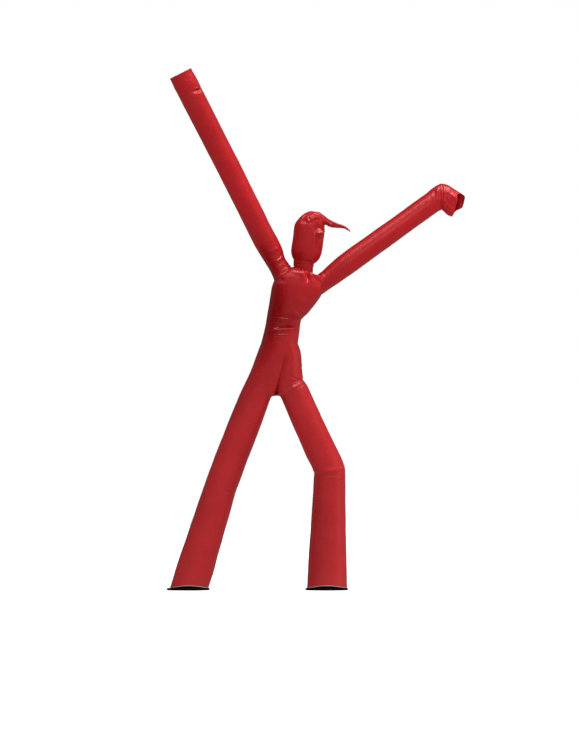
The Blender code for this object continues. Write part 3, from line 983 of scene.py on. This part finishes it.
def build_arm(side, chest_tree, sides, step):
    """Arm whose low end lies on the chest's own surface."""
    name = "arm_" + side
    rows = ROWS[name] + [moved(WRIST[side], -SEAM_GAP / 2)]
    length = knots_of(rows)[-1]
    turns = round_tube(sides)
    lines = ring_points(between(rows, PROBE)[:, None], turns)
    straight = where_it_lands(lines, chest_tree)
    lines = lines + normals_of(lines, True) * flare(side, PROBE[:, None], straight, turns)
    start = where_it_lands(lines, chest_tree)
    clear = start.max() + ARM_CLEAR
    reach = clear - start.mean()
    levels = spaced(length - clear + reach, step)
    share = np.clip(levels / reach, 0, 1)[:, None]
    along = np.where(share < 1, start + (clear - start) * share, clear + levels[:, None] - reach)
    sections = between(rows, along)
    turns = np.broadcast_to(turns, along.shape)
    points = ring_points(sections, turns)
    points = points + normals_of(points, True) * flare(side, along, straight, turns)
    radius, to_ends = radius_of(sections), (along - start, length - along)
    out = relief(name, points, along, to_ends, turns, radius)
    points = pressed(points, sections, out, to_ends[1], True)
    sew_rings(name, points, levels)
    sew_back(name, points, turns, radius)
    finish_tube(name, points, levels)


HOLE_ROWS = 6            # rows of an arm, from its low end, that its hole in the chest follows
HOLE_INSET = 0.006       # how much narrower than the arm the hole is


def arm_hole(side, sides=96, step=0.02):
    """Closed form inside the low end of an arm, for cutting its hole in the chest."""
    rows = [s._replace(wide=s.wide - HOLE_INSET, deep=s.deep - HOLE_INSET)
            for s in ROWS["arm_" + side][:HOLE_ROWS]]
    at = np.arange(0, knots_of(rows)[-1], step)
    points = ring_points(between(rows, at)[:, None], round_tube(sides)).reshape(-1, 3)
    first, last = list(range(sides)), list(range(len(points) - sides, len(points)))
    faces = grid_faces(len(at), sides, True).tolist() + [first[::-1], last]
    mesh = bpy.data.meshes.new("hole_" + side)
    mesh.from_pydata(points.tolist(), [], faces)
    mesh.update()
    return placed(mesh.name, mesh)


def cut_holes(thing, forms):
    """Takes forms out of a mesh with a boolean and applies it."""
    for form in forms:
        modifier = thing.modifiers.new(form.name, "BOOLEAN")
        modifier.operation = "DIFFERENCE"
        modifier.solver = "MANIFOLD"
        modifier.object = form
    graph = bpy.context.evaluated_depsgraph_get()
    made = bpy.data.meshes.new_from_object(thing.evaluated_get(graph))
    thing.modifiers.clear()
    thing.data = made
    made.materials.clear()
    made.polygons.foreach_set("material_index", np.zeros(len(made.polygons), np.int32))
    for form in forms:
        bpy.data.objects.remove(form)


def build_chest(sides, step):
    """Makes the chest and its arm holes; returns its surface before they were cut."""
    rows = [WAIST] + ROWS["chest"] + [NECK_SEAM]
    points, at, _, _ = cloth_tube("chest", rows, sides, step, TUBE_ENDS)
    thing = skin("chest_skin", points, True, at)
    sew_rings("chest", points, at)
    cut_holes(thing, [arm_hole(side) for side in SIDES])
    finish_piece("chest", thing)
    quads = grid_faces(*points.shape[:2], True)
    return BVHTree.FromPolygons(points.reshape(-1, 3).tolist(), quads.tolist())


for side in SIDES:
    build_tube("shin_" + side, [HEM[side]] + ROWS["shin_" + side] + [KNEE[side]], 120, 0.010,
               Ends("free", "seam"))
    build_tube("thigh_" + side, [KNEE[side]] + ROWS["thigh_" + side] + [HIP[side]], 120, 0.010,
               TUBE_ENDS)
    build_lobe(side)
chest_tree = build_chest(192, 0.0068)
for side in SIDES:
    build_arm(side, chest_tree, 96, 0.0095)
    build_tube("hand_" + side, [WRIST[side]] + ROWS["hand_" + side], 128, 0.006,
               Ends("seam", "free"))
build_tube("neck", [NECK_SEAM] + ROWS["neck"] + [CHIN_SEAM], 96, 0.007, TUBE_ENDS)
build_tube("head", [CHIN_SEAM] + ROWS["head"] + [CROWN_MOUTH], 160, 0.006, TUBE_ENDS)
build_tube("hair", [CROWN_MOUTH] + ROWS["hair"], 48, 0.005, TUBE_ENDS, False)


# ---- hem binding and base rings ----
# Out from the hem and up from the tape's lower edge: its outer face, fold and inner face
BINDING = [(0.0012, 0.0104), (0.0017, 0.0092), (0.0014, 0.0050), (0.0010, 0.0022),
           (0.0000, 0.0008), (-0.0014, 0.0004), (-0.0030, 0.0010), (-0.0038, 0.0026),
           (-0.0038, 0.0060), (-0.0036, 0.0080)]
BINDING_THICKNESS = 0.0007


def build_tape(side, sides=180):
    """Folded binding round the lower edge of a leg."""
    name, hem = "hem_tape_" + side, HEM[side]
    low_edge = moved(hem, -TAPE_HEIGHT)
    sections = [moved(low_edge, up)._replace(wide=hem.wide + out, deep=hem.deep + out)
                for out, up in BINDING]
    points = ring_points(np.array(sections)[:, None], round_tube(sides))
    points[..., 2] += np.maximum(0.0005 * field(points, 30, 77), -0.0003)
    along = run_of(points[:, 0])
    thing = skin(name + "_binding", points[::-1], True, along[::-1], BINDING_THICKNESS)
    thing.data.materials.append(tape_finish)
    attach(thing, "root")
    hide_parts(name)


for side in SIDES:
    build_tape(side)
    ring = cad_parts["base_ring_" + side]
    for slot in ring.material_slots:
        slot.material = plastic

# ---- stage, light and camera ----
low, high = CAD_BOX
middle = (low + high) / 2


def board(name, across, up, finish):
    """Flat rectangle for the stage, from its half width and half height as vectors."""
    a, b = Vector(across), Vector(up)
    mesh = bpy.data.meshes.new(name)
    mesh.from_pydata([-a - b, a - b, a + b, b - a], [], [(0, 1, 2, 3)])
    mesh.materials.append(finish)
    return placed(name, mesh)


HALF_FLOOR = 400.0
pale = material("pale_floor").finish({
    "Base Color": (0.80, 0.80, 0.80), "Roughness": 1.0, "Specular IOR Level": 0.0,
    "Emission Color": (1.0, 1.0, 1.0), "Emission Strength": 0.35})
floor = board("studio_floor", (HALF_FLOOR, 0, 0), (0, HALF_FLOOR, 0), pale)
floor.location.z = low.z
floor.visible_diffuse = False
floor.visible_glossy = False


def flag(name, place, wide, tall, azimuth):
    """Black card beside the stage that keeps light off one side; the camera doesn't see it."""
    black = material(name + "_black").finish({
        "Base Color": (0.0, 0.0, 0.0), "Specular IOR Level": 0.0})
    card = board(name, (wide / 2, 0, 0), (0, 0, tall / 2), black)
    card.location = place
    card.rotation_euler.z = math.radians(azimuth)
    card.visible_camera = False


flag("torso_flag", (-0.90, -0.50, 3.28), 0.95, 1.05, -50)
flag("waist_flag", (-0.40, -0.42, 3.11), 0.34, 0.09, 0)


def looks_back(thing, way):
    """Turns a lamp or camera so that it looks along -way."""
    thing.rotation_mode = "QUATERNION"
    thing.rotation_quaternion = way.to_track_quat("Z", "Y")


def lamp(name, kind, energy, way, **settings):
    """Lamp that shines along -way."""
    data = bpy.data.lights.new(name, kind)
    data.energy = energy
    for key, value in settings.items():
        setattr(data, key, value)
    thing = placed(name, data)
    looks_back(thing, way)
    return thing


def sun(name, azimuth, elevation, strength, angle, diffuse=True):
    """Soft distant light. Azimuth 0 shines from the front, 90 from the figure's +X side."""
    a, e = math.radians(azimuth), math.radians(elevation)
    to_lamp = Vector((math.sin(a) * math.cos(e), -math.cos(a) * math.cos(e), math.sin(e)))
    thing = lamp(name, "SUN", strength, to_lamp, angle=math.radians(angle))
    thing.visible_diffuse = diffuse


def spot(name, place, aim, power, cone, radius=0.5, glossy=True):
    """Soft spot lamp that lifts one part of the figure."""
    thing = lamp(name, "SPOT", power, Vector(place) - Vector(aim), spot_size=math.radians(cone),
                 spot_blend=0.8, shadow_soft_size=radius)
    thing.location = place
    thing.visible_glossy = glossy


sun("key", 84, 62, 2.85, 28)
sun("overhead", -8, 74, 0.9, 16)
sun("sparkle", -13, 63, 3.9, 30, diffuse=False)
sun("side", 74, 8, 0.32, 30)
spot("arm_fill", (0.70, -6.5, 5.6), (0.98, 0.0, 4.27), 300, 16)
spot("hand_fill", (6.2, -5.5, 3.4), (1.74, 0.0, 4.46), 330, 7)
spot("right_thigh_fill", (-4.0, -2.7, 0.4), (-0.06, 0.0, 1.80), 185, 10.5, radius=0.3, glossy=False)
spot("left_thigh_fill", (3.9, -2.0, 0.4), (-0.76, 0.0, 2.00), 65, 11, glossy=False)
spot("left_arm_fill", (-6.2, -1.2, 2.5), (-0.80, 0.0, 4.35), 110, 24, glossy=False)

DOME = 0.51              # brightness of the studio level with the figure
DOME_SLOPE = {"X": 0.05, "Y": -0.40, "Z": -0.20}
DIMMED = 0.10            # how much darker reflections see it


def studio_dome():
    """Light from all round, a little more from the pale floor; the camera sees it as white."""
    n = Nodes(bpy.data.worlds.new("studio"), "Background")
    direction = n.split(n.place("Generated"))
    level = DOME
    for axis, slope in DOME_SLOPE.items():
        level = n.math("MULTIPLY_ADD", direction[axis], slope, level)
    path = n.add("ShaderNodeLightPath").outputs
    level = n.math("MULTIPLY", level, n.math("MULTIPLY_ADD", path["Is Glossy Ray"], -DIMMED, 1.0))
    shown = n.add("ShaderNodeMix", {0: path["Is Camera Ray"], 2: level, 3: 1.0}, data_type="FLOAT")
    return n.finish({"Color": (1.0, 1.0, 1.0), "Strength": shown.outputs[0]})


bpy.context.scene.world = studio_dome()
bpy.context.scene.view_settings.view_transform = "Standard"

EYE = Vector((-0.318, -30.0, 0.8))        # from the middle of the CAD box, at floor level
AIM = Vector((-0.318, 0.0, 2.5088))
camera_data = bpy.data.cameras.new("camera")
camera_data.lens = 123.28
camera_data.sensor_width = 36.0
camera_data.clip_end = 1000.0
camera = placed("camera", camera_data)
camera.location = Vector((middle.x, 0.0, low.z)) + EYE
looks_back(camera, EYE - AIM)
bpy.context.scene.camera = camera
